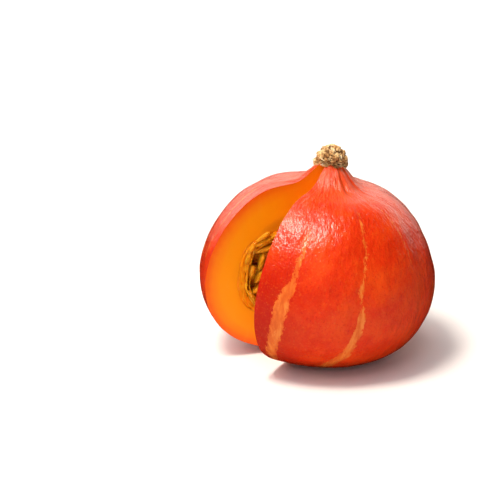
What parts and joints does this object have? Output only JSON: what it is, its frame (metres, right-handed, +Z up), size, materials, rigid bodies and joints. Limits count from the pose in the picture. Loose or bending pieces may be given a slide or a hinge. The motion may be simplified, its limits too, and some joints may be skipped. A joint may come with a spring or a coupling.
{
  "type": "kabocha squash",
  "caption": "Round orange-red winter squash with a pointed neck and a corky stem, and a wedge cut away to show its thick flesh, stringy pulp and seeds.",
  "frame": {"origin": "centre of the small flat spot that the squash rests on", "axes": "+Z up; the cut-out wedge opens towards -Y; the fruit's own core line leans 6 degrees from +Z towards +X and +Y"},
  "size_m": [0.1492, 0.1463, 0.1341],
  "materials": {
    "skin": "waxy orange-red skin with paler broken stripes",
    "flesh": "moist cut orange flesh",
    "pulp": "moist stringy pulp",
    "seed": "smooth cream seed coats",
    "stem": "dry cracked cork"
  },
  "bodies": {
    "root": {"squash_body": "skin", "stem": "stem", "seed_lobe_1": "pulp", "seed_lobe_2": "pulp", "seed_lobe_3": "pulp", "seed_lobe_4": "pulp", "seed_lobe_5": "pulp"}
  },
  "joints": []
}
